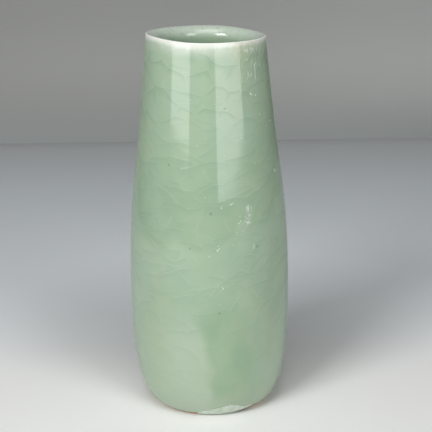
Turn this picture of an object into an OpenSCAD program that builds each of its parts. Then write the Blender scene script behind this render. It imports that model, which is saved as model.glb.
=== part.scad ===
// Sake bottle: a thrown, straight-tapering stoneware flask under a crackled celadon glaze.
// Millimetres, +Z up. The origin is the centre of the foot, on the surface the bottle stands on.
// The front faces -Y.

/* [Outline] */
// Height from the table to the lip
height = 165; // [140:1:185]
// Diameter at the widest place
belly_d = 70.8; // [66:0.2:76]
// Height of the widest place
belly_at = 56; // [50:1:60]
// Diameter where the taper is steepest
shoulder_d = 64.8; // [62:0.2:66]
// Height where the taper is steepest
shoulder_at = 102; // [98:1:106]
// Outer diameter just under the lip
mouth_d = 50.9; // [48:0.1:54]
// Diameter at which the rounded heel meets the table
foot_d = 53.2; // [50:0.2:56]

/* [Mouth] */
// Radius of the crisp outer edge of the lip
lip_edge = 0.5; // [0.4:0.1:0.8]
// Depth of the rounded inner side of the lip
lip_depth = 5; // [4:0.5:7]
// Diameter of the straight throat
throat_d = 40; // [37:0.5:42]
// Length of the straight throat
throat_length = 10; // [8:1:12]

/* [Wall and floor] */
// Thickness of the wall below the throat, glazes included
wall = 4.5; // [4:0.1:5.5]
// Height of the inner floor above the table
floor_at = 8; // [7:0.5:10]
// Height of the rounded corner between floor and wall
corner_height = 17; // [12:1:20]

/* [Foot] */
// Width of the ring that touches the table
ring_width = 5.4; // [4:0.2:6]
// Depth of the hollow under the base
recess_depth = 3; // [2:0.5:3.5]

/* [Glazes] */
// Thickness of the green glaze outside
outer_glaze_t = 0.7; // [0.5:0.1:0.9]
// Thickness of the glaze inside
inner_glaze_t = 0.5; // [0.3:0.1:0.7]
// Thickness of the glaze pooled on the inner floor
pool_t = 1.2; // [0.8:0.1:1.5]
// Thickness of the thin white glaze on the lip
rim_glaze_t = 0.3; // [0.2:0.05:0.4]
// Height of the white band down the outside of the lip
rim_band = 2; // [1.5:0.1:3]
// Thickness of the glaze in the hollow of the base
base_glaze_t = 0.5; // [0.3:0.1:0.7]
// Height of the bare clay left below the green glaze
bare_foot = 1; // [0.8:0.1:1.5]

/* [Kiln grit] */
// How far the grit stands out of the glaze
grit_proud = 0.3; // [0.2:0.1:0.5]
// Height of the grit's highest stretch
grit_top = 5; // [4:0.5:6]

/* [Hidden] */
$fn = 96;

belly_r = belly_d / 2;
shoulder_r = shoulder_d / 2;
mouth_r = mouth_d / 2;
foot_r = foot_d / 2;
throat_r = throat_d / 2;

// The heel is a superellipse quarter: how full it is going up, and how round going in.
heel_up = 3.27;
heel_in = 1.577;
// Slopes of the outline, as radius gained for each millimetre of height.
shoulder_slope = -0.137;
mouth_slope = -0.1;
// Height at which the wall has its full thickness again below the throat.
neck_at = height - lip_depth - throat_length - 20;

// The ring under the foot and the hollow inside it.
foot_contact_r = foot_r - 0.3;
ring_chamfer = 0.5;
recess_r = foot_contact_r - ring_width;
recess_top = recess_depth + base_glaze_t;
recess_fillet = 1.5;

// Each stretch of grit: where it starts and ends, in degrees right of the front, and its height.
grit_stretches = [
    [-12, 6, 0.35 * grit_top],
    [6, 18, 0.7 * grit_top],
    [18, 32, grit_top],
    [32, 46, 0.4 * grit_top],
];

// Radius at part t of a stretch of height h, between two radii with a slope at each.
function smooth_r(t, r0, r1, slope0, slope1, h) =
    (2 * t ^ 3 - 3 * t ^ 2 + 1) * r0 + (t ^ 3 - 2 * t ^ 2 + t) * h * slope0
    + (3 * t ^ 2 - 2 * t ^ 3) * r1 + (t ^ 3 - t ^ 2) * h * slope1;

function heel_r(z) =
    foot_r + (belly_r - foot_r) * (1 - (1 - z / belly_at) ^ heel_up) ^ (1 / heel_in);

function body_r(z) =
    smooth_r((z - belly_at) / (shoulder_at - belly_at), belly_r, shoulder_r,
        0, shoulder_slope, shoulder_at - belly_at);

function taper_r(z) =
    smooth_r((z - shoulder_at) / (height - shoulder_at), shoulder_r, mouth_r,
        shoulder_slope, mouth_slope, height - shoulder_at);

// Radius of the glazed outside at height z.
function outer_r(z) = z < belly_at ? heel_r(z) : z < shoulder_at ? body_r(z) : taper_r(z);

// Slope of the outside at height z.
function outer_slope(z) = (outer_r(z + 0.1) - outer_r(z - 0.1)) / 0.2;

// Radius of the glazed inside between the throat and the wall of full thickness.
function neck_r(z) =
    smooth_r((z - neck_at) / (throat_end - neck_at), outer_r(neck_at) - wall, throat_r,
        outer_slope(neck_at), 0, throat_end - neck_at);

function neck_slope(z) = (neck_r(z + 0.1) - neck_r(z - 0.1)) / 0.2;

throat_top = height - lip_depth;
throat_end = throat_top - throat_length;
lip_r = outer_r(height - lip_edge) - lip_edge;
corner_top = floor_at + corner_height;
corner_width = corner_height;
corner_r = outer_r(corner_top) - wall - corner_width;

// A place on the glazed surface: radius, height, the way the glaze faces, and its thickness.
function outside(z, t) = [outer_r(z), z, -atan(outer_slope(z)), t];
function inside(r, z, slope, t) = [r, z, 180 - atan(slope), t];

heel_steps = 14;
body_steps = 22;
heel_places = [
    for (i = [0:heel_steps])
        outside(bare_foot + (belly_at - bare_foot) * (i / heel_steps) ^ 1.8, outer_glaze_t)
];
body_places = [
    for (i = [1:body_steps])
        outside(belly_at + (height - rim_band - belly_at) * i / body_steps,
            i < body_steps ? outer_glaze_t : rim_glaze_t)
];
lip_edge_places = [
    for (a = [0:15:90])
        [lip_r + lip_edge * cos(a), height - lip_edge + lip_edge * sin(a), a, rim_glaze_t]
];
lip_places = [
    for (a = [80:-10:10])
        let (across = lip_r - throat_r)
        [
            lip_r - across * cos(a), throat_top + lip_depth * sin(a),
            180 - atan2(sin(a) / lip_depth, cos(a) / across),
            inner_glaze_t + (rim_glaze_t - inner_glaze_t) * sin(a)
        ]
];
throat_places = [
    inside(throat_r, throat_top, 0, inner_glaze_t),
    inside(throat_r, throat_end, 0, inner_glaze_t)
];
neck_places = [
    for (i = [1:8])
        let (z = throat_end - (throat_end - neck_at) * i / 8)
        inside(neck_r(z), z, neck_slope(z), inner_glaze_t)
];
wall_places = [
    for (i = [1:18])
        let (z = neck_at - (neck_at - corner_top) * i / 18)
        inside(outer_r(z) - wall, z, outer_slope(z), inner_glaze_t)
];
corner_places = [
    for (a = [10:10:90])
        [
            corner_r + corner_width * cos(a), corner_top - corner_height * sin(a),
            180 - a, inner_glaze_t + (pool_t - inner_glaze_t) * sin(a)
        ]
];
floor_places = [[0, floor_at, 90, pool_t]];

places = concat(heel_places, body_places, lip_edge_places, lip_places, throat_places,
    neck_places, wall_places, corner_places, floor_places);
rim_start = len(heel_places) + len(body_places) - 1;
rim_end = rim_start + len(lip_edge_places) + 1;
floor_end = len(places) - 1;

function glaze_point(place) = [place[0], place[1]];
function clay_point(place) =
    [max(0, place[0] - place[3] * cos(place[2])), place[1] - place[3] * sin(place[2])];

// One layer of glaze between two places, lying on the clay.
function layer(first, last, bevel = 0) =
    concat([for (i = [first:last]) clay_point(places[i])],
        [for (i = [last:-1:first + bevel]) glaze_point(places[i])]);

// Outline of the clay under the foot, from the axis out to the bare edge.
underside = concat(
    [[0, recess_top], [recess_r - recess_fillet, recess_top]],
    [
        for (a = [60:-30:0])
            [
                recess_r - recess_fillet * (1 - cos(a)),
                recess_top - recess_fillet * (1 - sin(a))
            ]
    ],
    [[recess_r, ring_chamfer], [recess_r + ring_chamfer, 0], [foot_contact_r, 0]]
);

// A wedge round the axis between two angles right of the front, up to height top.
module front_wedge(from, to, top) {
    reach = 2 * foot_r;
    translate([0, 0, -1])
        linear_extrude(top + 1)
            polygon([
                [0, 0],
                [reach * sin(from), -reach * cos(from)],
                [reach * sin((from + to) / 2), -reach * cos((from + to) / 2)],
                [reach * sin(to), -reach * cos(to)]
            ]);
}

module grit_region() {
    for (stretch = grit_stretches)
        front_wedge(stretch[0], stretch[1], stretch[2]);
}

module clay_body() {
    color([0.62, 0.44, 0.31])
        rotate_extrude()
            polygon(concat(underside, [for (place = places) clay_point(place)]));
}

module outer_glaze() {
    color([0.45, 0.59, 0.43])
        difference() {
            rotate_extrude()
                polygon(layer(0, rim_start, bevel = 1));
            grit_region();
        }
}

module rim_glaze() {
    color([0.85, 0.87, 0.8])
        rotate_extrude()
            polygon(layer(rim_start, rim_end));
}

module inner_glaze() {
    color([0.4, 0.54, 0.39])
        rotate_extrude()
            polygon(layer(rim_end, floor_end));
}

module base_glaze() {
    edge_r = recess_r - recess_fillet;
    color([0.42, 0.56, 0.41])
        rotate_extrude()
            polygon([
                [0, recess_depth],
                [edge_r - base_glaze_t, recess_depth],
                [edge_r, recess_top],
                [0, recess_top]
            ]);
}

// The grit starts on the bare foot and reaches up over the place where the glaze broke away.
module kiln_grit() {
    foot_edge = [foot_contact_r, 0];
    bare_edge = clay_point(places[0]);
    grit_foot = foot_edge + 0.4 * (bare_edge - foot_edge);
    grit_places = [for (place = heel_places) if (place[1] < grit_top + 6) place];
    color([0.72, 0.78, 0.7])
        intersection() {
            rotate_extrude()
                polygon(concat(
                    [grit_foot],
                    [for (place = grit_places) clay_point(place)],
                    [
                        for (i = [len(grit_places) - 1:-1:0])
                            glaze_point(grit_places[i]) + [grit_proud, 0]
                    ]
                ));
            grit_region();
        }
}

clay_body();
outer_glaze();
rim_glaze();
inner_glaze();
base_glaze();
kiln_grit();
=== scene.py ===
"""Looks of the sake bottle: a turned stoneware pot under a crackled celadon glaze.

Metres, +Z up, the front faces -Y. Azimuths run to the right from the front.
The outline is read from the CAD nodes, and the pieces here are turned from it with finer rings.
"""

import math

import bmesh
import bpy
import numpy as np
from mathutils import Euler, Matrix, Vector, noise


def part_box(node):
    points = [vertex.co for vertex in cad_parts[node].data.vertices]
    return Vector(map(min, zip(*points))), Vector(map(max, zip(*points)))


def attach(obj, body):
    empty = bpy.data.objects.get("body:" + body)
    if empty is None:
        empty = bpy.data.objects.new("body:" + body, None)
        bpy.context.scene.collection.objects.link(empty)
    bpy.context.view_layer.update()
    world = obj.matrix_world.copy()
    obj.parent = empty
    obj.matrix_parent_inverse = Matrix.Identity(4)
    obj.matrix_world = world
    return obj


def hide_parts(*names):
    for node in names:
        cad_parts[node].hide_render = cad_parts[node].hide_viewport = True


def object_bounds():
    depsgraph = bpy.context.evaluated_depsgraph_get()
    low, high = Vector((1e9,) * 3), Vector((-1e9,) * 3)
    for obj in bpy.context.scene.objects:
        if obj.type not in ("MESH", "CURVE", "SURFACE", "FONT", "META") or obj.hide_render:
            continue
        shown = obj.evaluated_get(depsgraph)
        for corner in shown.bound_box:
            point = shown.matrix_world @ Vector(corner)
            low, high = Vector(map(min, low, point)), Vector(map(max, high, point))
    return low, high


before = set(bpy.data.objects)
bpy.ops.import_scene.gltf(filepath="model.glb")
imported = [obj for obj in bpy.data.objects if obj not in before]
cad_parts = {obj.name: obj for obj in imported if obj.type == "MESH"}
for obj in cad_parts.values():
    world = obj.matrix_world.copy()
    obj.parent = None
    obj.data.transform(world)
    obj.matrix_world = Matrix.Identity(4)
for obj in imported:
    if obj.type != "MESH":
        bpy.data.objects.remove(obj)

cad_low, cad_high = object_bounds()
MM = 0.001
HEIGHT = cad_high.z
SPOKES = 288
AZIMUTHS = np.arange(SPOKES) * 2 * math.pi / SPOKES
SEED = 17
BODY = "root"

# How the pot departs from a perfectly turned one. Waves are (count round the pot, size, phase).
OVAL = 0.07 * MM
LOBES = 0.04 * MM
LIP_TILT = math.radians(1.84)
LIP_TILT_DEPTH = 30 * MM
LIP_WARP = 1.1 * MM
LIP_WAVES = ((3, 0.10 * MM, 0.8), (5, 0.06 * MM, 0))
RIDGE_PITCH = 6.5 * MM
INSIDE_RIDGE = 0.14 * MM
OUTSIDE_RIDGE = 0.0015 * MM
GLAZE_EDGE = 1.05 * MM
GLAZE_EDGE_WAVES = ((3, 0.20 * MM, 0.6), (7, 0.12 * MM, 2), (17, 0.06 * MM, 0))
GLAZE_ROLL = 1.1 * MM

# Sizes of the turned pieces that the CAD nodes don't give.
LIP_EDGE = 0.5 * MM
RIM_THICKNESS = 0.3 * MM
INNER_THICKNESS = 0.5 * MM
CLAY_UNDER_RIM = 0.4 * MM
CLAY_UNDER_GLAZE = 0.5 * MM
RECESS_FILLET = 1.5 * MM
FOOT_CHIP = 1.5 * MM
TRIMMING = 0.08 * MM
TRIMMING_PITCH = 2.8 * MM


# ---------------------------------------------------------------- outline, read from the frame


def cad_rings(node, wanted):
    """(radii, heights) of the corners in a CAD node's outline where its outward and up normals are wanted."""
    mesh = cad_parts[node].data
    places = np.array([v.co for v in mesh.vertices])
    normals = np.array([v.normal for v in mesh.vertices])
    radii = np.hypot(places[:, 0], places[:, 1])
    outward = (places[:, :2] * normals[:, :2]).sum(1) / np.maximum(radii, 1e-9)
    keep = wanted(outward, normals[:, 2]) & (places[:, 1] > 0)
    radii, heights = radii[keep], places[keep, 2]
    level_of = np.round(heights, 5)
    levels = np.unique(level_of)
    r = np.array([radii[level_of == level].mean() for level in levels])
    z = np.array([heights[level_of == level].mean() for level in levels])
    straight = r[:-2] + (r[2:] - r[:-2]) * (z[1:-1] - z[:-2]) / (z[2:] - z[:-2])
    corner = np.r_[True, abs(r[1:-1] - straight) > 0.0005 * MM, True]
    return r[corner], z[corner]


def smooth_through(x, y):
    """A function along the natural cubic spline through the points, held level past its ends."""
    x, y = np.asarray(x, float), np.asarray(y, float)
    gap, rise = np.diff(x), np.diff(y)
    count = len(x)
    system, sides = np.eye(count), np.zeros(count)
    for i in range(1, count - 1):
        system[i, i - 1 : i + 2] = gap[i - 1], 2 * (gap[i - 1] + gap[i]), gap[i]
        sides[i] = 6 * (rise[i] / gap[i] - rise[i - 1] / gap[i - 1])
    bend = np.linalg.solve(system, sides)

    def value(at):
        inside = np.clip(np.asarray(at, float), x[0], x[-1])
        i = np.clip(np.searchsorted(x, inside) - 1, 0, count - 2)
        left, right = inside - x[i], x[i + 1] - inside
        curve = (bend[i] * right**3 + bend[i + 1] * left**3) / (6 * gap[i])
        line = (y[i] / gap[i] - bend[i] * gap[i] / 6) * right
        return curve + line + (y[i + 1] / gap[i] - bend[i + 1] * gap[i] / 6) * left

    return value


RIM_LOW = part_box("rim_glaze")[0].z
glaze_radii, glaze_levels = cad_rings("outer_glaze", lambda out, up: out > 0.55)
clay_radii, clay_levels = cad_rings("clay_body", lambda out, up: out > 0.55)
clay_wall = clay_levels < RIM_LOW - MM
glaze_radius = smooth_through(glaze_levels, glaze_radii)
clay_radius = smooth_through(clay_levels[clay_wall], clay_radii[clay_wall])
GLAZE_FOOT = glaze_levels[0]
FOOT_RADIUS = clay_radii[0]

recess_radii, recess_levels = cad_rings("clay_body", lambda out, up: out < -0.5)
RECESS_RADIUS = recess_radii[recess_levels < 4 * MM].max()
RECESS_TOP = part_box("base_glaze")[1].z
BASE_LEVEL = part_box("base_glaze")[0].z
BASE_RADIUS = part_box("base_glaze")[1].x

inner_radii, inner_levels = cad_rings("inner_glaze", lambda out, up: (out < -0.05) | (up > 0.5))
FLOOR_LEVEL = inner_levels[0]
THROAT_RADIUS = inner_radii[inner_levels > HEIGHT / 2].min()
THROAT_TOP = inner_levels[inner_radii < THROAT_RADIUS + 0.01 * MM].max()
under_throat = inner_levels < THROAT_TOP - MM
INNER_WALL = inner_radii[under_throat][::-1], inner_levels[under_throat][::-1]
LIP_RADIUS = float(glaze_radius(RIM_LOW)) - 0.15 * MM
CREST_RADIUS = LIP_RADIUS - LIP_EDGE


# ---------------------------------------------------------------- form of the pot


def ease(value, low, high):
    """0 below low, 1 above high, and a smooth step between."""
    t = np.clip((np.asarray(value, float) - low) / (high - low), 0, 1)
    return t * t * (3 - 2 * t)


def waves(azimuths, parts):
    """The sum of sine waves round the pot."""
    return sum(size * np.sin(count * azimuths + phase) for count, size, phase in parts)


def shaped(azimuths, radii, heights, inside=False):
    """Points of the pot as thrown: slightly out of round, faintly ridged, its lip tilted and uneven."""
    loose = ease(heights, 4 * MM, 30 * MM)
    radii = radii + loose * OVAL * np.sin(2 * azimuths + 1.1 + heights / (40 * MM))
    radii = radii + loose * LOBES * np.sin(3 * azimuths + 0.4 - heights / (25 * MM))
    below_throat = 1 - ease(heights, HEIGHT - 22 * MM, HEIGHT - 14 * MM)
    ridge = INSIDE_RIDGE * below_throat if inside else OUTSIDE_RIDGE
    radii = radii + loose * ridge * np.sin(heights * 2 * math.pi / RIDGE_PITCH + azimuths)
    near_lip = ease(heights, HEIGHT - LIP_TILT_DEPTH, HEIGHT)
    lift = waves(azimuths, LIP_WAVES) - math.tan(LIP_TILT) * radii * np.sin(azimuths)
    lift = lift + LIP_WARP * np.sin(azimuths) ** 2 * np.cos(azimuths)
    return radii * np.sin(azimuths), -radii * np.cos(azimuths), heights + near_lip * lift


# The crust of grit on the foot: azimuth in degrees and the height of its top in millimetres.
GRIT_TOP = ((-13, 2.3), (-2, 3.8), (6, 5.1), (16, 6.2), (23, 5.3), (27, 3.9), (35, 3.3), (41, 2.5))
GRIT_START, GRIT_END = math.radians(GRIT_TOP[0][0]), math.radians(GRIT_TOP[-1][0])
GRIT_OVERLAP = 0.7 * MM
GRIT_THICKNESS = 0.95 * MM
GRIT_ROUGHNESS = 0.36 * MM
GRIT_LEAST = 0.02 * MM


def signed(azimuths):
    """Azimuths from -pi to pi."""
    return (np.asarray(azimuths, float) + math.pi) % (2 * math.pi) - math.pi


def grit_top(azimuths):
    degrees, tops = zip(*GRIT_TOP)
    return np.interp(np.degrees(signed(azimuths)), degrees, tops) * MM


def within_grit(azimuths, margin):
    """1 along the crust, fading to 0 across a margin at both of its ends."""
    a = signed(azimuths)
    started = ease(a, GRIT_START - margin, GRIT_START + margin)
    ended = ease(a, GRIT_END - margin, GRIT_END + margin)
    return started * (1 - ended)


def glaze_edge(azimuths):
    """Height at which the green glaze ends above the bare foot, higher where the grit broke it away."""
    edge = GLAZE_EDGE + waves(azimuths, GLAZE_EDGE_WAVES)
    under_grit = within_grit(azimuths, math.radians(3))
    return edge * (1 - under_grit) + (grit_top(azimuths) - GRIT_OVERLAP) * under_grit


def glaze_thickness(heights, edge):
    """How far the outer glaze stands out of the clay, rounding off to nothing at its edge."""
    above_foot = np.maximum(heights, GLAZE_FOOT + 0.2 * MM)
    full = glaze_radius(above_foot) - clay_radius(above_foot)
    roll = np.clip((heights - edge) / GLAZE_ROLL, 0, 1)
    return full * np.sqrt(1 - (1 - roll) ** 2)


def outer_radius(azimuths, heights):
    return clay_radius(heights) + glaze_thickness(heights, glaze_edge(azimuths))


def foot_chip(azimuths, heights):
    """How far the clay is broken back under the grit."""
    span = within_grit(azimuths, math.radians(5)) * ease(signed(azimuths), math.radians(-8), math.radians(6))
    return FOOT_CHIP * span * (1 - ease(heights, 0.9 * MM, 2.0 * MM))


def per_spoke(value):
    return np.broadcast_to(np.asarray(value, float), (SPOKES,))


def turned(name, rings, inside=False):
    """A closed piece turned round the axis from (radius, height) rings, each one number or one per spoke."""
    corners, rows = [], []
    for radius, height in rings:
        if np.max(radius) < 0.001 * MM:
            rows.append([len(corners)] * SPOKES)
            corners.append((0.0, 0.0, float(np.max(height))))
            continue
        x, y, z = shaped(AZIMUTHS, per_spoke(radius), per_spoke(height), inside)
        rows.append(range(len(corners), len(corners) + SPOKES))
        corners.extend(zip(x, y, z))
    faces = []
    for row, following in zip(rows, rows[1:] + rows[:1]):
        for i in range(SPOKES):
            j = (i + 1) % SPOKES
            face = tuple(dict.fromkeys((row[i], row[j], following[j], following[i])))
            if len(face) > 2:
                faces.append(face)
    return piece(name, corners, faces)


def piece(name, corners, faces, crease=math.radians(40)):
    """A mesh object with its normals outward and its shading smooth except across creases."""
    mesh = bpy.data.meshes.new(name)
    mesh.from_pydata([tuple(map(float, c)) for c in corners], [], faces)
    shape = bmesh.new()
    shape.from_mesh(mesh)
    bmesh.ops.recalc_face_normals(shape, faces=shape.faces)
    shape.to_mesh(mesh)
    shape.free()
    mesh.shade_smooth()
    mesh.set_sharp_from_angle(angle=crease)
    made = bpy.data.objects.new(name, mesh)
    bpy.context.scene.collection.objects.link(made)
    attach(made, BODY)
    return made


def behind(radii, heights, depth):
    """The outline moved to its right-hand side by a depth."""
    along_r, along_z = np.gradient(radii), np.gradient(heights)
    length = np.hypot(along_r, along_z)
    return radii - depth * along_z / length, heights + depth * along_r / length


# ---------------------------------------------------------------- pieces


def make_outer_glaze():
    """The green glaze from its edge over the foot up to the rim, its rows crowding towards the foot."""
    rows, back_rows = 236, 12
    edge = glaze_edge(AZIMUTHS)
    rings = []
    for i in range(rows + 1):
        heights = edge + (RIM_LOW - edge) * (i / rows) ** 1.3
        rings.append((clay_radius(heights) + glaze_thickness(heights, edge), heights))
    for i in range(back_rows):
        heights = RIM_LOW + (edge - RIM_LOW) * (i / back_rows) ** 0.8
        rings.append((clay_radius(heights), heights))
    return turned("outer_glaze_skin", rings)


def lip_outline():
    """Radii and heights over the lip: up the outside, round the crisp edge and down the rounded inside."""
    up = np.linspace(RIM_LOW, HEIGHT - LIP_EDGE, 8)[:-1]
    wall = np.interp(up, (up[0], up[-1]), (float(glaze_radius(RIM_LOW)), LIP_RADIUS))
    turn = np.radians(np.linspace(0, 90, 13))
    edge_r = CREST_RADIUS + LIP_EDGE * np.cos(turn)
    edge_z = HEIGHT - LIP_EDGE + LIP_EDGE * np.sin(turn)
    fall = np.radians(np.linspace(90, 0, 40))[1:]
    inner_r = CREST_RADIUS - (CREST_RADIUS - THROAT_RADIUS) * np.cos(fall)
    inner_z = THROAT_TOP + (HEIGHT - THROAT_TOP) * np.sin(fall)
    return np.r_[wall, edge_r, inner_r], np.r_[up, edge_z, inner_z]


# The rim glaze takes this many rows of the lip's outline, and the inner glaze takes the others.
RIM_ROWS = 26


def make_rim_glaze():
    radii, heights = lip_outline()
    radii, heights = radii[:RIM_ROWS], heights[:RIM_ROWS]
    back_r, back_z = behind(radii, heights, RIM_THICKNESS)
    return turned("rim_glaze_skin", list(zip(radii, heights)) + list(zip(back_r[::-3], back_z[::-3])))


def make_inner_glaze():
    lip_r, lip_z = lip_outline()
    wall_r, wall_z = INNER_WALL
    chain_r = np.r_[THROAT_RADIUS, wall_r, 0]
    chain_z = np.r_[THROAT_TOP, wall_z, FLOOR_LEVEL]
    along = np.r_[0, np.cumsum(np.hypot(np.diff(chain_r), np.diff(chain_z)))]
    radius_at, height_at = smooth_through(along, chain_r), smooth_through(along, chain_z)
    steps = np.linspace(0, along[-1], 120)[1:]
    radii = np.r_[lip_r[RIM_ROWS - 1 :], radius_at(steps)]
    heights = np.r_[lip_z[RIM_ROWS - 1 :], height_at(steps)]
    radii[-1] = 0
    back_r, back_z = behind(radii, heights, INNER_THICKNESS)
    back_r[-1] = 0
    rings = list(zip(radii, heights)) + list(zip(back_r[::-6], back_z[::-6]))
    return turned("inner_glaze_skin", rings, inside=True)


def make_clay():
    """The clay: only the foot, its hollow and the bare band show, and the rest lies under the glazes."""
    lip_r, lip_z = lip_outline()
    skin_r, skin_z = behind(lip_r, lip_z, CLAY_UNDER_RIM)
    rings = [(0, RECESS_TOP)]
    rings += [(r, RECESS_TOP) for r in np.linspace(2 * MM, RECESS_RADIUS - RECESS_FILLET, 8)]
    for turn in np.radians(np.linspace(80, 0, 6)):
        radius = RECESS_RADIUS - RECESS_FILLET * (1 - math.cos(turn))
        rings.append((radius, RECESS_TOP - RECESS_FILLET * (1 - math.sin(turn))))
    rings += [(RECESS_RADIUS + 0.02 * MM, 1.2 * MM), (RECESS_RADIUS + 0.05 * MM, 0.6 * MM)]
    for turn in np.radians(np.linspace(0, 90, 5))[1:]:
        rings.append((RECESS_RADIUS + 0.5 * MM - 0.45 * MM * math.cos(turn), 0.5 * MM * (1 - math.sin(turn))))
    rings += [(r, 0.0) for r in np.linspace(RECESS_RADIUS + 1.2 * MM, FOOT_RADIUS - 1.6 * MM, 6)]
    for height in np.r_[0.0, np.linspace(0.12, 3.0, 14), np.geomspace(3.6, RIM_LOW / MM - 3, 30)] * MM:
        rounded = 0.25 * MM * (1 - ease(height, 0, 0.4 * MM))
        rings.append((clay_radius(height) - rounded - foot_chip(AZIMUTHS, height), height))
    rings += list(zip(skin_r[::3], skin_z[::3]))
    for radius, height in zip(*INNER_WALL):
        rings.append((radius + CLAY_UNDER_GLAZE, height - 0.3 * MM * (height < 20 * MM)))
    rings.append((0, FLOOR_LEVEL - 0.8 * MM))
    return turned("stoneware_body", rings)


def make_base_glaze():
    """Glaze in the hollow, lying over the spiral left by trimming the foot."""
    rings = [(0, BASE_LEVEL)]
    for radius in np.linspace(1 * MM, BASE_RADIUS, 30):
        spiral = TRIMMING * np.sin(radius * 2 * math.pi / TRIMMING_PITCH + AZIMUTHS)
        thin = ease(radius, BASE_RADIUS - 1.5 * MM, BASE_RADIUS)
        rings.append((radius, BASE_LEVEL + spiral * (1 - thin) + (RECESS_TOP - BASE_LEVEL) * thin))
    rings.append((BASE_RADIUS * 0.5, RECESS_TOP))
    rings.append((0, RECESS_TOP))
    return turned("base_glaze_skin", rings)


def grit_thickness(azimuth, height, part):
    """How far the crust stands out of the clay, part of the way up it: grainy, and thin at its border."""
    ends = math.sin(math.pi * (azimuth - GRIT_START) / (GRIT_END - GRIT_START)) ** 0.25
    swell = math.sin(math.pi * (0.12 + 0.70 * part)) ** 0.35 if part < 1 else 0.0
    place = Vector((azimuth * 29, height / MM * 1.1, 0))
    grain = noise.noise(place * 1.3) + noise.noise(place * 3.1)
    return max((GRIT_THICKNESS + GRIT_ROUGHNESS * grain) * swell * ends, GRIT_LEAST)


def grit_span(azimuth):
    """The lowest and highest point of the crust at an azimuth, both ragged."""
    ragged = noise.noise(Vector((azimuth * 90, 3.1, 0)))
    ragged += 0.6 * noise.noise(Vector((azimuth * 210, 7.7, 0)))
    rise = float(ease(azimuth, math.radians(12), math.radians(40)))
    low = (0.35 + 1.4 * rise) * MM + 0.12 * MM * noise.noise(Vector((azimuth * 60, 0, 5.2)))
    return low, float(grit_top(azimuth)) + 0.35 * MM * ragged


def make_grit():
    """A rough closed crust on the clay, from the broken foot up over the edge of the glaze."""
    columns, rows = 320, 34
    front, back = [], []
    for azimuth in np.linspace(GRIT_START, GRIT_END, columns):
        low, top = grit_span(azimuth)
        for row in range(rows):
            part = row / (rows - 1)
            height = low + (top - low) * part
            surface = float(clay_radius(height))
            front.append((azimuth, surface + grit_thickness(azimuth, height, part), height))
            back.append((azimuth, surface - 0.15 * MM, height))
    behind_front = len(front)
    faces = []
    for side in (0, behind_front):
        for column in range(columns - 1):
            for row in range(rows - 1):
                first = side + column * rows + row
                faces.append((first, first + rows, first + rows + 1, first + 1))
    border = [column * rows for column in range(columns)]
    border += [(columns - 1) * rows + row for row in range(1, rows)]
    border += [column * rows + rows - 1 for column in range(columns - 2, -1, -1)]
    border += [row for row in range(rows - 2, 0, -1)]
    for first, second in zip(border, border[1:] + border[:1]):
        faces.append((first, second, second + behind_front, first + behind_front))
    places = np.array(front + back)
    return piece("kiln_grit_crust", np.c_[shaped(places[:, 0], places[:, 1], places[:, 2])], faces)


# Pale specks fired onto the glaze: azimuth in degrees, height and radius in millimetres.
SPECKS = (
    (41.4, 143.4, 0.40), (42.8, 142.8, 0.34), (46.8, 142.4, 0.36), (50.5, 134.2, 0.35),
    (66.5, 129.9, 0.40), (65.3, 108.3, 0.50), (64.2, 109.0, 0.30),
    (6.1, 79.9, 0.42), (7.4, 80.6, 0.33), (6.9, 81.8, 0.28), (0.4, 77.4, 0.26),
    (33.1, 79.0, 0.32), (33.5, 79.7, 0.32), (34.0, 80.4, 0.28),
    (9.5, 63.0, 0.38), (8.9, 63.8, 0.24), (22.3, 90.7, 0.34), (24.0, 91.4, 0.30), (23.4, 93.6, 0.24),
    (17.0, 98.9, 0.36), (18.5, 99.3, 0.28), (9.8, 97.8, 0.34), (20.3, 87.0, 0.26),
)
SMALL_SPECKS = 46
DOME_SIDES, DOME_RINGS = 12, 4


def dome(azimuth, height, radius, first):
    """Corners and faces of a low closed dome that lies a little into the glaze, numbered from first."""
    a, z, size = math.radians(azimuth), height * MM, radius * MM
    centre = np.array(shaped(a, outer_radius(a, z), z))
    out = np.array((math.sin(a), -math.cos(a), 0.0))
    side, up = np.array((math.cos(a), math.sin(a), 0.0)), np.array((0.0, 0.0, 1.0))
    sunk, rise = 0.08 * MM, 0.4 * size
    corners = [centre - out * 0.12 * MM]
    for ring in range(DOME_RINGS):
        turn = math.pi / 2 * ring / DOME_RINGS
        level = (sunk + rise) * math.sin(turn) - sunk
        for step in range(DOME_SIDES):
            angle = step * 2 * math.pi / DOME_SIDES
            uneven = 1 + 0.25 * noise.noise(Vector((azimuth, height, step * 0.9)))
            sideways = side * math.cos(angle) + up * math.sin(angle)
            corners.append(centre + out * level + sideways * size * math.cos(turn) * uneven)
    corners.append(centre + out * rise)
    last = first + 1 + (DOME_RINGS - 1) * DOME_SIDES
    faces = []
    for step in range(DOME_SIDES):
        following = (step + 1) % DOME_SIDES
        faces.append((first, first + 1 + following, first + 1 + step))
        for lower in range(first + 1, last, DOME_SIDES):
            upper = lower + DOME_SIDES
            faces.append((lower + step, lower + following, upper + following, upper + step))
        faces.append((last + step, last + following, last + DOME_SIDES))
    return corners, faces


def make_specks():
    """The specks listed, and smaller ones scattered over the front."""
    rng = np.random.default_rng(SEED)
    specks = list(SPECKS)
    for _ in range(SMALL_SPECKS):
        specks.append((rng.normal(24, 28), rng.uniform(55, 160), rng.uniform(0.12, 0.24)))
    corners, faces = [], []
    for azimuth, height, radius in specks:
        more_corners, more_faces = dome(azimuth, height, radius, len(corners))
        corners += more_corners
        faces += more_faces
    return piece("glaze_specks", corners, faces)


outer_glaze = make_outer_glaze()
rim_glaze = make_rim_glaze()
inner_glaze = make_inner_glaze()
clay = make_clay()
base_glaze = make_base_glaze()
grit = make_grit()
specks = make_specks()


# ---------------------------------------------------------------- materials


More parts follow.
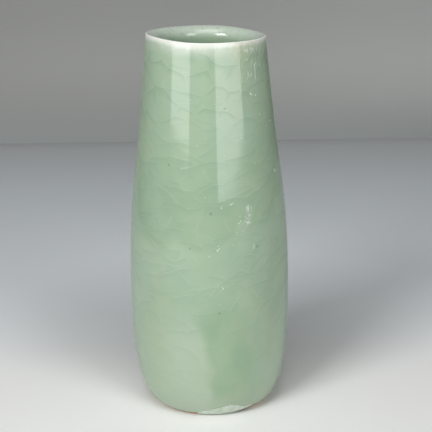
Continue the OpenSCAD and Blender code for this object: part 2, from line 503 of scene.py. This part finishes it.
class Look:
    """One material and short calls for its nodes. Its coordinates are the object's own, in millimetres."""

    def __init__(self, name):
        self.material = bpy.data.materials.new(name)
        self.material.use_nodes = True
        self.tree = self.material.node_tree
        self.shader = self.tree.nodes["Principled BSDF"]
        coordinates = self.tree.nodes.new("ShaderNodeTexCoord")
        scale = self.new("ShaderNodeVectorMath", "SCALE", coordinates.outputs["Object"])
        scale.inputs["Scale"].default_value = 1 / MM
        self.place = scale.outputs[0]
        self.x, self.y, self.z = self.split(self.place)

    def put(self, socket, value):
        if isinstance(value, bpy.types.NodeSocket):
            self.tree.links.new(value, socket)
        elif socket.type == "RGBA" and len(value) == 3:
            socket.default_value = (*value, 1)
        else:
            socket.default_value = value

    def new(self, kind, operation, *values):
        made = self.tree.nodes.new(kind)
        if operation:
            made.operation = operation
        for socket, value in zip(made.inputs, values):
            self.put(socket, value)
        return made

    def maths(self, operation, *values):
        return self.new("ShaderNodeMath", operation, *values).outputs[0]

    def chain(self, operation, values):
        """An operation on two values, carried on through all of them."""
        result = values[0]
        for value in values[1:]:
            result = self.maths(operation, result, value)
        return result

    def times(self, *values):
        return self.chain("MULTIPLY", values)

    def plus(self, *values):
        return self.chain("ADD", values)

    def most(self, *values):
        return self.chain("MAXIMUM", values)

    def minus(self, first, second):
        return self.maths("SUBTRACT", first, second)

    def step(self, value, low, high):
        """0 to 1, smoothly, as value goes from low to high."""
        made = self.tree.nodes.new("ShaderNodeMapRange")
        made.interpolation_type = "SMOOTHSTEP"
        for socket, number in zip(made.inputs, (value, low, high)):
            self.put(socket, number)
        return made.outputs[0]

    def mix(self, amount, first, second):
        made = self.tree.nodes.new("ShaderNodeMix")
        made.data_type = "RGBA"
        self.put(made.inputs[0], amount)
        self.put(made.inputs[6], first)
        self.put(made.inputs[7], second)
        return made.outputs[2]

    def split(self, vector):
        return self.new("ShaderNodeSeparateXYZ", None, vector).outputs

    def joined(self, x, y, z):
        return self.new("ShaderNodeCombineXYZ", None, x, y, z).outputs[0]

    def red(self, colour):
        return self.new("ShaderNodeSeparateColor", None, colour).outputs[0]

    def stretched(self, by, source=None):
        return self.new("ShaderNodeVectorMath", "MULTIPLY", source or self.place, by).outputs[0]

    def moved(self, by, source=None):
        return self.new("ShaderNodeVectorMath", "ADD", source or self.place, by).outputs[0]

    def along(self, direction, source=None):
        made = self.new("ShaderNodeVectorMath", "DOT_PRODUCT", source or self.place, direction)
        return made.outputs["Value"]

    def noise(self, size, detail=2.0, source=None, roughness=0.5):
        """Noise from 0 to 1 with features of a size in millimetres."""
        made = self.tree.nodes.new("ShaderNodeTexNoise")
        self.put(made.inputs["Vector"], source or self.place)
        made.inputs["Scale"].default_value = 1 / size
        made.inputs["Detail"].default_value = detail
        made.inputs["Roughness"].default_value = roughness
        return made.outputs[0]

    def cells(self, feature, size, source):
        made = self.tree.nodes.new("ShaderNodeTexVoronoi")
        made.feature = feature
        self.put(made.inputs["Vector"], source)
        made.inputs["Scale"].default_value = 1 / size
        return made.outputs

    def near(self, azimuth, height, inner, outer, radius=None):
        """1 within inner millimetres of a place and 0 beyond outer. It lies on the outside by default."""
        a = math.radians(azimuth)
        radius = radius or float(outer_radius(a, height * MM)) / MM
        spot = (radius * math.sin(a), -radius * math.cos(a), height)
        away = self.new("ShaderNodeVectorMath", "DISTANCE", self.place, spot).outputs["Value"]
        return self.step(away, outer, inner)

    def bump(self, height, distance, under=None):
        """A bump that rises by distance in millimetres where height is 1, over the bump under it."""
        made = self.tree.nodes.new("ShaderNodeBump")
        made.inputs["Strength"].default_value = 1.0
        made.inputs["Distance"].default_value = distance * MM
        self.put(made.inputs["Height"], height)
        if under is not None:
            self.put(made.inputs["Normal"], under)
        return made.outputs[0]

    def finish(self, colour, roughness, normal=None, ior=None):
        self.put(self.shader.inputs["Base Color"], colour)
        self.put(self.shader.inputs["Roughness"], roughness)
        if normal is not None:
            self.put(self.shader.inputs["Normal"], normal)
        if ior is not None:
            self.shader.inputs["IOR"].default_value = ior
        return self.material


GREEN = (0.378, 0.508, 0.370)
GREEN_DEEP = (0.331, 0.459, 0.323)
GREEN_PALE = (0.445, 0.563, 0.430)
GREEN_DARK_LOW = (0.262, 0.396, 0.250)
GREEN_PALE_LOW = (0.440, 0.538, 0.408)
GREEN_WARM = (0.415, 0.518, 0.350)
GREEN_HEEL = (0.405, 0.470, 0.370)
GREEN_INSIDE = (0.480, 0.560, 0.472)
# Dark green for the real mottles inside and for painted shade down the throat.
GREEN_SHADE_AND_MOTTLE = (0.200, 0.275, 0.200)
WHITE = (0.84, 0.86, 0.79)
STAIN = (0.52, 0.50, 0.28)
CRACK_LIGHT = (0.60, 0.71, 0.58)
CRACK_DARK = (0.25, 0.38, 0.26)
SPECK = (0.74, 0.82, 0.70)
PIT = (0.13, 0.18, 0.12)
CLAY = (0.62, 0.33, 0.18)
CLAY_PALE = (0.74, 0.50, 0.34)
CLAY_GRAIN = (0.40, 0.24, 0.15)
CLAY_WORN = (0.64, 0.56, 0.48)
# Painted shadow colour for the clay under the grit.
CLAY_SHADOW = (0.07, 0.09, 0.07)
WASH = (0.62, 0.71, 0.60)
WASH_PALE = (0.76, 0.82, 0.74)
WASH_GRAIN = (0.46, 0.53, 0.44)
SPECK_DEEP = (0.58, 0.70, 0.56)
SPECK_PALE = (0.71, 0.80, 0.68)

# Dark pits in the glaze: azimuth in degrees, height and radius in millimetres.
PITS = (
    (15.4, 138.6, 0.5), (-31.4, 115.0, 0.6), (1.9, 95.6, 0.7),
    (6.8, 51.9, 0.6), (36.3, 79.4, 0.8), (-13, 80.7, 0.5),
)

# Places on the glaze: azimuth in degrees, height, and how far each holds full and fades out, in millimetres.
PALE_LOW_PATCH = (-14, 26, 8, 36)
DARK_LOW_PATCH = (8, 30, 14, 32)
SUGAR_PATCH = ((31.2, 95.8, 0.5, 2.3), (30.3, 93.2, 0.5, 2.3), (29.4, 90.6, 0.5, 2.3))
SUGAR_RUNS = (47, 156.5, 3, 11)
# Where the white runs reach furthest, and where a painted window reflection brightens the haze under the lip.
WHITE_RUNS_AND_REFLECTION = (-17, 160, 4, 18)
LIP_STAIN = (36, 162.5, 3, 9)
LIP_NICK = (43, 164.6, 0.2, 0.7)
# A painted shadow on the clay, under the grit.
FOOT_SHADOW = (16, 1, 9, 14)


def leaning(toward, tilt):
    """A direction that leans from upright towards an azimuth, by tilt sideways for 1 up."""
    return tilt * math.sin(math.radians(toward)), -tilt * math.cos(math.radians(toward)), 1.0


def arcs(look, toward, tilt, spacing, seed):
    """Long cracks where tilted, wandering layers meet the surface, lowest towards an azimuth.

    Returns how much a place is darkened (just under a crack) and lightened (just above one), from 0 to 1.
    """
    offset = look.moved((seed * 31.0, seed * 17.0, seed * 7.0))
    above_shoulder = look.most(look.minus(look.z, 110.0), 0.0)
    crowded = look.times(look.maths("POWER", above_shoulder, 2.0), 0.006)
    level = look.plus(look.along(leaning(toward, tilt)), crowded)
    wander = look.times(look.noise(36, 1, offset, 0.35), 30 / spacing)
    block = look.cells("F1", 17, offset)
    jog = look.times(look.red(block["Color"]), 0.35)
    cusps = look.plus(look.times(block["Distance"], 8 / spacing), jog)
    phase = look.plus(look.maths("DIVIDE", level, spacing), wander, cusps)
    index = look.maths("FLOOR", phase)
    part = look.maths("FRACT", phase)
    x, y, _ = look.split(offset)

    def present(crack):
        """1 along the stretches where a crack, known by its number, is open, and 0 where it has closed."""
        return look.step(look.noise(20, 1, look.joined(x, y, look.times(crack, 53.0))), 0.42, 0.50)

    shade = look.step(part, 1 - 7 / spacing, 1.0)
    under = look.times(shade, shade, present(look.plus(index, 1.0)))
    above = look.times(look.step(part, 0.6 / spacing, 0.1 / spacing), present(index))
    return under, above


def shells(look, toward, tilt, size, flatness, seed, share):
    """Plates that overlap like flat shells, wide and low, drawn over a share of the surface.

    Returns the same two values as arcs.
    """
    offset = look.moved((seed * 41.0, seed * 23.0, seed * 11.0))
    drift = look.noise(22, 1, offset, 0.4).node.outputs["Color"]
    bent = look.moved(look.stretched((14, 14, 12), drift), offset)
    x, y, _ = look.split(bent)
    laid = look.joined(x, y, look.times(look.along(leaning(toward, tilt), bent), flatness))
    plate = look.cells("F1", size, laid)
    gap = look.cells("DISTANCE_TO_EDGE", size, laid)["Distance"]
    from_middle = look.new("ShaderNodeVectorMath", "SUBTRACT", laid, plate["Position"]).outputs[0]
    height = look.split(from_middle)[2]
    drawn = look.step(look.noise(15, 1, offset), 0.62 - 0.25 * share, 0.68 - 0.25 * share)
    tone = look.times(look.red(plate["Color"]), 0.3)
    upper_edge = look.times(look.step(gap, 0.36, 0.0), look.step(height, -1.0, 5.0))
    lower_edge = look.times(look.step(gap, 0.035, 0.010), look.step(height, 0.0, -5.0))
    return look.times(look.most(upper_edge, tone), drawn), look.times(lower_edge, drawn)


def crackle(look):
    """Every crack on the pot together: how much a place is darkened and lightened by them.

    Long arcs cross the body, and small rounded plates like scales take their place under the lip.
    """
    high = look.step(look.z, 116, 138)
    low = look.minus(1.0, look.times(high, 0.75))
    networks = (
        (low, arcs(look, -25, 0.50, 11, 0.0)),
        (look.times(low, 0.7), arcs(look, 150, 0.30, 20, 4.0)),
        (look.times(low, 0.8), arcs(look, -20, 1.10, 20, 2.0)),
        (look.times(low, 0.8), shells(look, -25, 0.42, 20, 2.0, 1.0, 0.8)),
        (0.70, shells(look, -10, 0.15, 11, 1.4, 2.0, 0.5)),
        (look.times(high, 1.4), shells(look, 10, 0.35, 9.5, 1.25, 3.0, 1.3)),
    )
    dark = look.most(*(look.times(under, strength) for strength, (under, above) in networks))
    light = look.most(*(look.times(above, strength) for strength, (under, above) in networks))
    clear = look.plus(0.35, look.times(look.step(look.z, 15, 70), 0.65))
    return look.times(dark, clear), look.times(light, clear)


def glaze_body(look):
    """The green of the glaze: paler on the left of the heel, deeper on the right."""
    base = look.mix(look.step(look.noise(38, 2), 0.3, 0.7), GREEN_DEEP, GREEN)
    across = look.minus(look.plus(look.x, look.times(look.noise(24, 2), 30)), 15)
    # A paler patch low on the left of the front, and a deeper one low on its right and along the right of the
    # heel.
    thin = look.times(look.near(*PALE_LOW_PATCH), look.step(across, 6, -1))
    base = look.mix(look.times(thin, 0.8), base, GREEN_PALE_LOW)
    sides = look.times(look.step(across, -4, 4), look.step(look.x, 25, 10))
    dark_low = look.times(look.near(*DARK_LOW_PATCH), sides)
    heel = look.times(look.step(look.z, 26, 6), look.step(look.x, -2, 9), look.step(look.x, 30, 12), 0.9)
    base = look.mix(look.times(look.most(dark_low, heel), 0.80), base, GREEN_DARK_LOW)
    base = look.mix(look.times(look.step(look.z, 17, 4), 0.55), base, GREEN_HEEL)
    base = look.mix(look.times(look.step(look.z, 105, 165), 0.45), base, GREEN_PALE)
    warm = look.step(look.noise(15, 2, look.stretched((1, 1, 0.7))), 0.40, 0.70)
    return look.mix(look.times(warm, 0.40), base, GREEN_WARM)


def below_lip(look):
    """How far a place lies below the uneven edge of the lip, in millimetres."""
    bend = look.times(look.x, look.x, look.y)
    level = look.plus(look.z, look.times(look.x, math.tan(LIP_TILT)))
    level = look.plus(level, look.times(bend, LIP_WARP / CREST_RADIUS**3 * MM**2))
    return look.minus(HEIGHT / MM, level)


def glaze_inside(look, base, depth, inner):
    """Pale just inside the mouth, with painted shade darkening it down the throat, and faintly speckled."""
    base = look.mix(look.times(inner, look.step(depth, 5.5, 1.0)), base, GREEN_INSIDE)
    # Painted shade: the throat darkens from a few millimetres below the lip, as if the near wall shadowed it.
    throat = look.times(look.step(depth, 3.5, 8.5), look.step(depth, 40, 12))
    base = look.mix(look.times(inner, throat, 0.8), base, GREEN_SHADE_AND_MOTTLE)
    speckled = look.times(inner, look.step(look.noise(1.6, 3), 0.50, 0.72))
    return look.mix(look.times(speckled, 0.30), base, GREEN_SHADE_AND_MOTTLE)


def glaze_lip(look, base, depth, outer):
    """The glaze ran thin and white off the lip, in streaks down the outside, with a stain and a nick. The
    whitish haze under the lip is partly thin glaze and partly a painted window reflection, strongest on the
    front left.
    """
    streak = look.noise(1.6, 2, look.stretched((1, 1, 0.12)))
    runs_and_reflection = look.near(*WHITE_RUNS_AND_REFLECTION)
    reach = look.plus(1.0, look.times(streak, look.plus(0.9, runs_and_reflection)))
    white = look.step(depth, look.times(reach, 1.7), look.times(reach, 0.35))
    cloudy = look.plus(0.6, look.times(look.noise(3, 3), 0.8))
    # Painted reflection: a whitish haze below the lip, partly thin glaze, brightened on the front left where
    # a window reflects.
    haze_and_reflection = look.times(look.step(depth, 7.5, 0.5), outer, cloudy, look.plus(0.30, look.times(runs_and_reflection, 0.30)))
    base = look.mix(haze_and_reflection, base, WHITE)
    stain = look.times(look.near(*LIP_STAIN), look.step(look.noise(2.4, 2), 0.25, 0.65), outer)
    base = look.mix(look.times(stain, 0.28), base, STAIN)
    stained_white = look.mix(look.times(stain, 0.25), WHITE, STAIN)
    base = look.mix(look.times(white, outer), base, stained_white)
    nick = look.near(*LIP_NICK, radius=CREST_RADIUS / MM - 0.3)
    return look.mix(look.times(nick, 0.7), base, PIT)


def celadon(name, inner=None):
    """The green glaze. inner is 1 on a piece that lies inside, and is worked out if it isn't given."""
    look = Look(name)
    dark, light = crackle(look)
    base = look.mix(look.times(dark, 0.32), glaze_body(look), CRACK_DARK)
    base = look.mix(look.times(light, 0.10), base, CRACK_LIGHT)
    base = look.mix(look.times(look.step(look.noise(1.3, 3), 0.62, 0.75), 0.05), base, CRACK_DARK)

    patch = look.most(*(look.near(*place) for place in SUGAR_PATCH))
    sugar_grains = look.times(patch, look.step(look.noise(0.9, 2), 0.44, 0.56))
    base = look.mix(look.times(sugar_grains, 0.6), base, SPECK)
    for azimuth, height, size in PITS:
        base = look.mix(look.times(look.near(azimuth, height, size * 0.4, size * 1.3), 0.4), base, PIT)

    depth = below_lip(look)
    if inner is None:
        radius = look.new("ShaderNodeVectorMath", "LENGTH", look.stretched((1, 1, 0))).outputs["Value"]
        inner = look.step(radius, CREST_RADIUS / MM + 0.25, CREST_RADIUS / MM - 0.15)
        inner = look.times(inner, look.step(depth, 14, 12))
    base = glaze_inside(look, base, depth, inner)
    base = glaze_lip(look, base, depth, look.minus(1.0, inner))

    # Short upright runs of sugary glaze under the lip, right of the front.
    sugar = look.near(*SUGAR_RUNS)
    sugar_runs = look.times(sugar, look.step(look.noise(0.9, 2, look.stretched((1, 1, 0.35))), 0.52, 0.66))
    base = look.mix(look.times(sugar_runs, 0.7), base, SPECK)

    normal = look.bump(look.noise(12, 1), 0.02)
    normal = look.bump(look.noise(1.1, 2), 0.001, normal)
    normal = look.bump(light, 0.004, normal)
    normal = look.bump(sugar_runs, 0.16, normal)
    normal = look.bump(sugar_grains, 0.12, normal)
    rough = look.most(sugar, patch, look.times(inner, 0.8))
    roughness = look.plus(0.05, look.times(look.noise(5, 2), 0.03), look.times(rough, 0.10))
    return look.finish(base, roughness, normal, ior=1.55)


def stoneware(name):
    """Orange-brown clay with darker grains, paler where the foot is worn, and painted dark under the grit for
    the shadow there.
    """
    look = Look(name)
    grain, cloud = look.noise(0.5, 3), look.noise(6, 3)
    colour = look.mix(look.step(cloud, 0.3, 0.7), CLAY, CLAY_PALE)
    colour = look.mix(look.step(grain, 0.60, 0.75), colour, CLAY_GRAIN)
    colour = look.mix(look.times(look.step(look.z, 0.25, 0.0), 0.55), colour, CLAY_WORN)
    # Painted shadow: the clay under the grit is darkened to stand for the shade in the gap beneath the crust.
    colour = look.mix(look.times(look.near(*FOOT_SHADOW), 0.85), colour, CLAY_SHADOW)
    return look.finish(colour, look.plus(0.62, look.times(cloud, 0.25)), look.bump(grain, 0.10))


def kiln_wash(name):
    """Whitish grit with grains and a rough, uneven shine."""
    look = Look(name)
    grain, cloud = look.noise(0.45, 3), look.noise(3.5, 2)
    colour = look.mix(look.step(cloud, 0.35, 0.65), WASH, WASH_PALE)
    colour = look.mix(look.step(grain, 0.58, 0.74), colour, WASH_GRAIN)
    return look.finish(colour, look.plus(0.45, look.times(grain, 0.4)), look.bump(grain, 0.25))


def speck_glaze(name):
    look = Look(name)
    colour = look.mix(look.noise(3, 2), SPECK_DEEP, SPECK_PALE)
    return look.finish(colour, look.plus(0.15, look.times(look.noise(1, 2), 0.2)))


celadon_look = celadon("celadon")

DRESSED = (
    (outer_glaze, celadon_look, "outer_glaze", "celadon_glaze"),
    (rim_glaze, celadon_look, "rim_glaze", "rim_glaze"),
    (inner_glaze, celadon("celadon_inside", 1.0), "inner_glaze", "inner_glaze"),
    (base_glaze, celadon_look, "base_glaze", "base_glaze"),
    (clay, stoneware("stoneware"), "clay_body", "bare_clay"),
    (grit, kiln_wash("kiln_wash"), "kiln_grit", "kiln_grit"),
)
for made, look, node, material_slot in DRESSED:
    made.data.materials.append(look)
    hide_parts(node)
specks.data.materials.append(speck_glaze("speck_glaze"))


# ---------------------------------------------------------------- stage, light and camera


TABLE = (0.96, 0.96, 0.95)
TABLE_COOL = (0.91, 0.955, 0.975)
# Painted shade: the table greys towards its far edge and its rounded rim as the light falls off.
TABLE_FAR_SHADE = (0.695, 0.745, 0.78)
TABLE_EDGE_SHADE = (0.60, 0.63, 0.635)
WALL = (0.84, 0.86, 0.84)
# Painted shade on the wall: to the left, and at its foot where the table shades it.
WALL_LEFT_SHADE = (0.72, 0.73, 0.71)
WALL_FOOT_SHADE = (0.70, 0.742, 0.735)
SHADE = (0.04, 0.05, 0.06)
ROOM = (0.08, 0.08, 0.08)
GREY = (0.5, 0.5, 0.5)


def painted(look, colour, roughness):
    """Finishes a plain painted surface, very slightly uneven."""
    tint = look.mix(look.times(look.noise(30, 3), 0.04), colour, GREY)
    return look.finish(tint, roughness, look.bump(look.noise(1.5, 2), 0.01))


def table_look():
    """Pale, greyer towards the far edge with painted fall-off of light, and a little greyer just behind the
    bottle with a painted shadow.
    """
    look = Look("table_top")
    colour = look.mix(look.step(look.y, 0, 100), TABLE, TABLE_COOL)
    # Painted fall-off of light towards the far edge and onto its rounded rim.
    colour = look.mix(look.step(look.y, 20, 400), colour, TABLE_FAR_SHADE)
    colour = look.mix(look.step(look.y, 320, 480), colour, TABLE_EDGE_SHADE)
    # Painted shadow just behind the bottle.
    painted_shadow = look.times(look.near(180, 0, 40, 135, radius=75), look.step(look.y, -10, 50))
    colour = look.mix(look.times(painted_shadow, 0.19), colour, SHADE)
    return painted(look, colour, 0.5)


def wall_look():
    """Grey, with painted shade making it darker towards the left, the top and the foot."""
    look = Look("wall")
    # Painted shade: darker to the left, at the foot and towards the top.
    colour = look.mix(look.step(look.x, 300, -50), WALL, WALL_LEFT_SHADE)
    colour = look.mix(look.step(look.z, -55, -125), colour, WALL_FOOT_SHADE)
    colour = look.mix(look.times(look.step(look.z, -25, 60), 0.13), colour, SHADE)
    return painted(look, colour, 0.8)


def slab(name, outline, bottom, top, look, far_radius=0.0):
    """A flat slab over an outline; its far upper edge may be rounded."""
    mesh = bpy.data.meshes.new(name)
    shape = bmesh.new()
    base = shape.faces.new([shape.verts.new((x, y, bottom)) for x, y in outline])
    raised = bmesh.ops.extrude_face_region(shape, geom=[base])["geom"]
    lifted = [part for part in raised if isinstance(part, bmesh.types.BMVert)]
    bmesh.ops.translate(shape, verts=lifted, vec=(0, 0, top - bottom))
    bmesh.ops.recalc_face_normals(shape, faces=shape.faces)
    if far_radius:
        back = max(y for x, y in outline)
        far = [e for e in shape.edges if all(abs(v.co.y - back) + abs(v.co.z - top) < 1e-6 for v in e.verts)]
        bmesh.ops.bevel(shape, geom=far, offset=far_radius, segments=32, profile=0.5, affect="EDGES")
    shape.to_mesh(mesh)
    shape.free()
    mesh.shade_smooth()
    mesh.set_sharp_from_angle(angle=math.radians(30))
    mesh.materials.append(look)
    made = bpy.data.objects.new(name, mesh)
    bpy.context.scene.collection.objects.link(made)


TABLE_OUTLINE = ((-0.354, -0.33), (0.50, -0.49), (0.50, 0.645), (-0.354, 0.645))
WALL_OUTLINE = ((-0.5, 0.95), (0.45, 0.95), (0.45, 1.0), (-0.5, 1.0))
ROOM_OUTLINE = ((-2.5, -2.5), (2.5, -2.5), (2.5, 2.5), (-2.5, 2.5))


def make_stage():
    """A pale table top in a dim room, with a plain wall behind it."""
    slab("table_top", TABLE_OUTLINE, -0.25, 0.0, table_look(), far_radius=0.2)
    slab("wall", WALL_OUTLINE, -1.2, 1.2, wall_look())
    slab("room_floor", ROOM_OUTLINE, -0.80, -0.75, painted(Look("room_floor"), ROOM, 0.8))


def panel(name, azimuth, elevation, distance, width, height, radiance, colour=(1, 1, 1)):
    """A soft lamp that faces the bottle's middle, seen from there at an azimuth and elevation in degrees."""
    lamp = bpy.data.lights.new(name, "AREA")
    lamp.shape, lamp.size, lamp.size_y = "RECTANGLE", width, height
    lamp.energy = radiance * math.pi * width * height
    lamp.color = colour
    a, e = math.radians(azimuth), math.radians(elevation)
    away = Vector((math.sin(a) * math.cos(e), -math.cos(a) * math.cos(e), math.sin(e)))
    lit = bpy.data.objects.new(name, lamp)
    lit.location = Vector((0, 0, HEIGHT / 2)) + away * distance
    lit.rotation_mode = "QUATERNION"
    lit.rotation_quaternion = away.to_track_quat("Z", "Y")
    bpy.context.scene.collection.objects.link(lit)
    return lit


def window(name, azimuth_from, azimuth_to, distance, bottom, top, radiance, colour=(1, 1, 1)):
    """An upright lamp between two azimuths and two heights."""
    middle = (azimuth_from + azimuth_to) / 2
    width = 2 * distance * math.tan(math.radians(azimuth_to - azimuth_from) / 2)
    lit = panel(name, middle, 0, distance, width, top - bottom, radiance, colour)
    lit.location.z = (bottom + top) / 2
    return lit


def wall_wash(name, y, z, width, depth, radiance):
    """A strip lamp behind the table that brightens the foot of the wall."""
    lit = panel(name, 180, 0, y, width, depth, radiance)
    lit.location = (0, y, z)
    lit.rotation_quaternion = Vector((0, -1, -1)).to_track_quat("Z", "Y")
    return lit


def make_lights():
    """Two upright windows in front, two soft lamps above them, and fill for the table and the wall."""
    window("window_left", -63, -29.2, 1.0, 0.090, 0.25, 2.8)
    window("window_right", 15.3, 63, 1.0, 0.064, 0.25, 2.7)
    window("window_behind", -153, -134, 0.9, -0.12, 0.60, 0.12)
    panel("high_left", -38, 36, 1.1, 0.4, 0.4, 12.5)
    panel("high_right", 38, 36, 1.1, 0.4, 0.4, 5.2)
    panel("overhead", -20, 75, 1.2, 0.6, 0.6, 2.1)
    panel("near", 0, 65, 0.35, 0.2, 0.2, 2.0)
    wall_wash("wall_wash", 0.80, -0.45, 1.0, 0.1, 0.85)
    world = bpy.data.worlds.new("room")
    world.use_nodes = True
    world.node_tree.nodes["Background"].inputs["Color"].default_value = (0.035, 0.035, 0.035, 1)
    bpy.context.scene.world = world


# The camera stands almost in front of the bottle, this many bottle heights away, and looks down at it.
CAMERA_PLACE = (0.0198, -2.977, 1.468)
LOOK_DOWN = math.radians(17.85)
ROLL = math.radians(-0.785)
LENS = 96.9


def make_camera():
    data = bpy.data.cameras.new("camera")
    data.sensor_width = 36
    data.lens = LENS
    data.clip_start, data.clip_end = 0.01, 20
    camera = bpy.data.objects.new("camera", data)
    camera.location = Vector(CAMERA_PLACE) * HEIGHT
    facing = Euler((math.pi / 2 - LOOK_DOWN, 0, 0)).to_matrix() @ Matrix.Rotation(ROLL, 3, "Z")
    camera.rotation_euler = facing.to_euler()
    bpy.context.scene.collection.objects.link(camera)
    bpy.context.scene.camera = camera


make_lights()
make_stage()
make_camera()
bpy.context.scene.view_settings.view_transform = "Standard"
